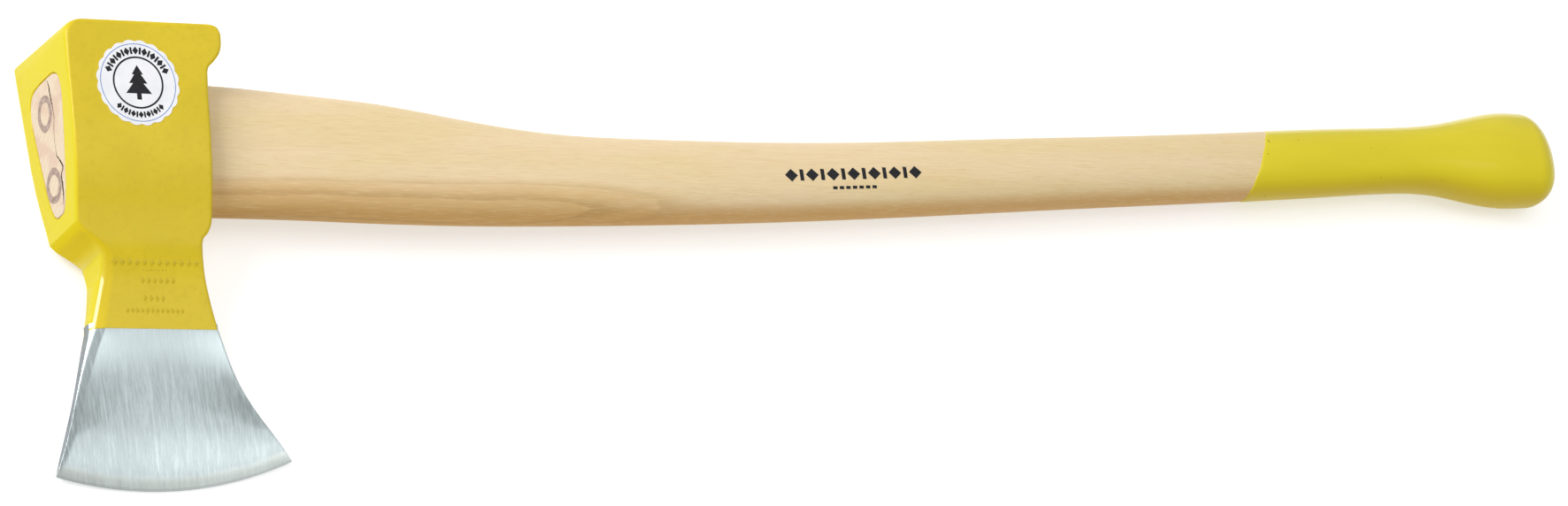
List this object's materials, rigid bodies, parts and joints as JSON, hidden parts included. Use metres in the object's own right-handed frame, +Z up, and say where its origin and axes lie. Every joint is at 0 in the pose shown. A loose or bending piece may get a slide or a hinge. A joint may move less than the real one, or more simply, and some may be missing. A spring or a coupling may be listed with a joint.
{
  "type": "splitting axe",
  "caption": "Two-handed splitting axe lying on its side: wedge-shaped forged head with flat poll and ground blade, and a curved wooden handle with a dipped grip.",
  "frame": {"origin": "middle of the bounding box's bottom, on the floor the axe lies on", "axes": "+X along the handle from the head to the knob, +Y from the blade towards the poll, +Z up from the floor, across the head's thickness"},
  "size_m": [0.906, 0.2268, 0.068],
  "materials": {
    "head_paint": "satin",
    "ash_wood": "satin",
    "grip_lacquer": "gloss",
    "bare_steel": "satin",
    "label_foil": "satin"
  },
  "bodies": {
    "root": {"axe_head": "head_paint", "handle": "ash_wood", "grip_coating": "grip_lacquer", "ring_wedge_upper": "bare_steel", "ring_wedge_lower": "bare_steel", "head_label": "label_foil"}
  },
  "joints": []
}
